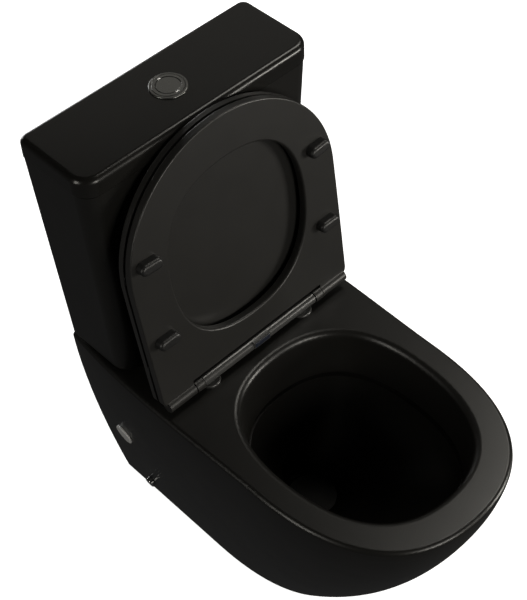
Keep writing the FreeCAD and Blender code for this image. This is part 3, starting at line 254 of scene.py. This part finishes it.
smoked_chrome = new_finish("smoked_chrome", (0.27, 0.27, 0.262), 0.3, Metallic=1.0)
wire(smoked_chrome, spread(smoked_chrome, grain(smoked_chrome, 0.006, 3), 0.26, 0.36),
     shader_of(smoked_chrome).inputs["Roughness"])
relief(smoked_chrome, [(grain(smoked_chrome, 0.0009, 2), 0.04, 0.0001)])

for name in ("button_bezel", "full_flush_button", "half_flush_button"):
    finish_node(name, smoked_chrome, edge=0.0003, segments=3)


def wound(node, turns):
    """Coil spring that stands where a node's sleeve is, carried with the lid."""
    corners = [nodes[node].matrix_world @ Vector(corner) for corner in nodes[node].bound_box]
    low = min(corner.z for corner in corners) + COIL_WIRE
    high = max(corner.z for corner in corners) - COIL_WIRE
    x = sum(corner.x for corner in corners) / 8
    y = sum(corner.y for corner in corners) / 8
    radius = max(corner.x for corner in corners) - x - COIL_WIRE
    path = bpy.data.curves.new(node + "_wire", "CURVE")
    path.dimensions = "3D"
    path.bevel_depth = COIL_WIRE
    path.bevel_resolution = 2
    path.use_fill_caps = True
    strand = path.splines.new("POLY")
    count = turns * COIL_STEPS + 1
    strand.points.add(count - 1)
    for index in range(count):
        turned = index / COIL_STEPS
        climb = min(max((turned - 1) / (turns - 2), 0), 1)
        end = 2 * COIL_WIRE * (min(turned, 1) + max(turned - turns + 1, 0))
        angle = 2 * math.pi * turned
        height = low + end + (high - low - 4 * COIL_WIRE) * climb
        strand.points[index].co = (x + radius * math.cos(angle), y + radius * math.sin(angle), height, 1)
    coil = bpy.data.objects.new(node + "_coil", path)
    bpy.context.scene.collection.objects.link(coil)
    for piece in bpy.context.selected_objects:
        piece.select_set(False)
    coil.select_set(True)
    bpy.context.view_layer.objects.active = coil
    bpy.ops.object.convert(target="MESH")
    coil = bpy.context.active_object
    coil.data.materials.clear()
    coil.data.materials.append(steel)
    for face in coil.data.polygons:
        face.use_smooth = True
    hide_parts(node)
    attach(coil, "lid")
    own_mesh(coil)
    return coil


wound("full_flush_spring", FULL_TURNS)
wound("half_flush_spring", HALF_TURNS)

polished = new_finish("polished", (0.85, 0.85, 0.84), 0.18, Metallic=1.0)
wire(polished, spread(polished, grain(polished, 0.002, 2), 0.15, 0.24),
     shader_of(polished).inputs["Roughness"])
full_box = [nodes["full_flush_button"].matrix_world @ Vector(corner)
            for corner in nodes["full_flush_button"].bound_box]
button_top = max(corner.z for corner in full_box)
button_x = sum(corner.x for corner in full_box) / 8
button_y = sum(corner.y for corner in full_box) / 8
for label, side in (("rear", 1), ("front", -1)):
    for piece in bpy.context.selected_objects:
        piece.select_set(False)
    bpy.ops.mesh.primitive_cube_add(size=1, location=(0, 0, 0))
    key = bpy.context.active_object
    key.name = "finger_notch_" + label
    for vertex in key.data.vertices:
        vertex.co = Vector((button_x + vertex.co.x * NOTCH_SIZE[0],
                            button_y + side * NOTCH_OUT + vertex.co.y * NOTCH_SIZE[1],
                            button_top - NOTCH_SINK + vertex.co.z * NOTCH_SIZE[2]))
    eased = key.modifiers.new("eased", "BEVEL")
    eased.width = NOTCH_EDGE
    eased.segments = 2
    key.data.materials.append(polished)
    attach(key, "full_button")

# ---- seat ring and cover -----------------------------------------------------------------------
# Both are pressed from black thermoset, harder and a touch glossier than the china, with a fine
# satin from the mould. They stand open against the cistern.

seat_black = new_finish("seat_black", (0.019, 0.0185, 0.0175), 0.36, Specular_IOR_Level=0.5)
wire(seat_black, spread(seat_black, grain(seat_black, 0.03, 2), 0.355, 0.375),
     shader_of(seat_black).inputs["Roughness"])
wire(seat_black, two_tone(seat_black, spread(seat_black, grain(seat_black, 0.09, 3), 0, 1),
                          (0.0185, 0.018, 0.0171), (0.0195, 0.019, 0.018)),
     shader_of(seat_black).inputs["Base Color"])
relief(seat_black, [(grain(seat_black, 0.0006, 2), 0.02, 0.00003)])
finish_node("seat_ring", seat_black)
finish_node("cover", seat_black)

pad_rubber = new_finish("pad_rubber", (0.012, 0.012, 0.012), 0.4)
wire(pad_rubber, spread(pad_rubber, grain(pad_rubber, 0.002, 3), 0.36, 0.48),
     shader_of(pad_rubber).inputs["Roughness"])
relief(pad_rubber, [(grain(pad_rubber, 0.0006, 2), 0.2, 0.0002)])
finish_node("seat_bumpers", pad_rubber, edge=0.0028, segments=6)
finish_node("cover_bumpers", pad_rubber, edge=0.0006, segments=3)

# ---- hinge -------------------------------------------------------------------------------------
# A satin black bar carries the pins and dampers, and clips down over two posts that rise from
# discs on the pan in the same satin black. A blue-grey button in its middle releases it.

hinge_black = new_finish("hinge_black", (0.05, 0.05, 0.049), 0.22, Specular_IOR_Level=1.0)
wire(hinge_black, spread(hinge_black, grain(hinge_black, 0.01, 2), 0.2, 0.24),
     shader_of(hinge_black).inputs["Roughness"])
relief(hinge_black, [(grain(hinge_black, 0.0007, 2), 0.01, 0.00002)])
finish_node("hinge_bar", hinge_black, edge=0.0004)

button_blue = new_finish("button_blue", (0.012, 0.015, 0.026), 0.34)
wire(button_blue, spread(button_blue, grain(button_blue, 0.004, 3), 0.3, 0.42),
     shader_of(button_blue).inputs["Roughness"])
relief(button_blue, [(grain(button_blue, 0.0008, 2), 0.12, 0.0001)])
finish_node("release_button", button_blue, edge=0.0005, segments=3)
finish_node("hinge_base_discs", hinge_black, edge=0.0004, segments=3)

# ---- side caps and screw covers ----------------------------------------------------------------
# Plated caps that hide the two side fixings, and small bright domes over the floor bracket's
# screws.

bright_chrome = new_finish("bright_chrome", (0.62, 0.62, 0.62), 0.1, Metallic=1.0)
wire(bright_chrome, spread(bright_chrome, grain(bright_chrome, 0.005, 3), 0.07, 0.16),
     shader_of(bright_chrome).inputs["Roughness"])
relief(bright_chrome, [(grain(bright_chrome, 0.002, 2), 0.03, 0.0001)])
satin_chrome = new_finish("satin_chrome", (0.9, 0.9, 0.89), 0.45, Metallic=0.4)
wire(satin_chrome, spread(satin_chrome, grain(satin_chrome, 0.004, 3), 0.4, 0.5),
     shader_of(satin_chrome).inputs["Roughness"])
relief(satin_chrome, [(grain(satin_chrome, 0.0008, 2), 0.05, 0.0001)])
finish_node("side_caps", satin_chrome, edge=0.0004, segments=3)
finish_node("screw_covers", bright_chrome, edge=0.0004, segments=3)

# ---- floor, light and camera -------------------------------------------------------------------
# A pale seamless floor, with softboxes at the right, above, in front, at the left and behind,
# seen from above and to the left of the pan's nose.

FLOOR_SIZE = 14.0
FLOOR_PALE = (0.86, 0.86, 0.86)
FLOOR_GLOW = 0.93
CAMERA_PLACE = (-0.87842, -0.88591, 1.99992)
CAMERA_AZIMUTH = -42.084
CAMERA_ELEVATION = 48.573
CAMERA_ROLL = -2.772
CAMERA_LENS = 84.77

for piece in bpy.context.selected_objects:
    piece.select_set(False)
bpy.ops.mesh.primitive_plane_add(size=FLOOR_SIZE, location=(0, 0, -0.0004))
floor = bpy.context.active_object
floor.name = "floor"
floor_paint = new_finish("floor_paint", FLOOR_PALE, 0.8, Specular_IOR_Level=0.1)
wire(floor_paint, two_tone(floor_paint, spread(floor_paint, grain(floor_paint, 0.6, 2), 0, 1),
                           (0.855, 0.855, 0.855), (0.87, 0.87, 0.87)),
     shader_of(floor_paint).inputs["Base Color"])
floor.data.materials.append(floor_paint)
shader_of(floor_paint).inputs["Emission Color"].default_value = (1, 1, 1, 1)
shader_of(floor_paint).inputs["Emission Strength"].default_value = FLOOR_GLOW
floor.visible_glossy = False
floor.visible_diffuse = False


def soft_light(name, place, target, width, height, power, colour=(1, 1, 1)):
    """Rectangular softbox at a place, turned towards a target."""
    lamp = bpy.data.lights.new(name, "AREA")
    lamp.shape = "RECTANGLE"
    lamp.size = width
    lamp.size_y = height
    lamp.energy = power
    lamp.color = colour
    holder = bpy.data.objects.new(name, lamp)
    holder.location = place
    holder.rotation_mode = "QUATERNION"
    holder.rotation_quaternion = (Vector(target) - Vector(place)).to_track_quat("-Z", "Y")
    bpy.context.scene.collection.objects.link(holder)


AIM = (0, 0, 0.35)
WARM = (1.0, 0.965, 0.885)
soft_light("key", (1.9, -2.0, 0.75), AIM, 0.8, 0.8, 36, WARM)
soft_light("overhead", (1.35, 0.1, 2.3), AIM, 0.5, 1.2, 11, WARM)
soft_light("front_fill", (-0.1, -2.5, 1.2), AIM, 1.2, 0.7, 26, WARM)
soft_light("rear_glow", (1.9, 2.3, 2.4), AIM, 2.2, 1.6, 3, WARM)
soft_light("left_strip", (-2.5, 0.3, 1.3), AIM, 0.4, 1.4, 13, WARM)
soft_light("back_fill", (0.4, 2.7, 0.7), AIM, 1.6, 1.0, 30)

world = bpy.data.worlds.new("studio")
world.use_nodes = True
sky = world.node_tree.nodes["Background"]
direction = world.node_tree.nodes.new("ShaderNodeTexCoord")
parts = world.node_tree.nodes.new("ShaderNodeSeparateXYZ")
glow = world.node_tree.nodes.new("ShaderNodeMapRange")
for socket, value in (("From Min", -0.15), ("From Max", 0.25), ("To Min", 0.04), ("To Max", 0.006)):
    glow.inputs[socket].default_value = value
world.node_tree.links.new(direction.outputs["Generated"], parts.inputs["Vector"])
world.node_tree.links.new(parts.outputs["Z"], glow.inputs["Value"])
world.node_tree.links.new(glow.outputs["Result"], sky.inputs["Strength"])
sky.inputs["Color"].default_value = (1, 1, 1, 1)
bpy.context.scene.world = world
bpy.context.scene.view_settings.view_transform = "Standard"

azimuth = math.radians(CAMERA_AZIMUTH)
elevation = math.radians(CAMERA_ELEVATION)
roll = math.radians(CAMERA_ROLL)
back = Vector((math.sin(azimuth) * math.cos(elevation), -math.cos(azimuth) * math.cos(elevation),
               math.sin(elevation)))
level_right = (-back).cross(Vector((0, 0, 1))).normalized()
level_up = level_right.cross(-back)
right = math.cos(roll) * level_right + math.sin(roll) * level_up
up = math.cos(roll) * level_up - math.sin(roll) * level_right
camera = bpy.data.objects.new("camera", bpy.data.cameras.new("camera"))
camera.data.lens = CAMERA_LENS
camera.matrix_world = Matrix.Translation(CAMERA_PLACE) @ Matrix((right, up, back)).transposed().to_4x4()
bpy.context.scene.collection.objects.link(camera)
bpy.context.scene.camera = camera

# ---- update ------------------------------------------------------------------------------------
# The scene's placements brought up to date.

bpy.context.view_layer.update()
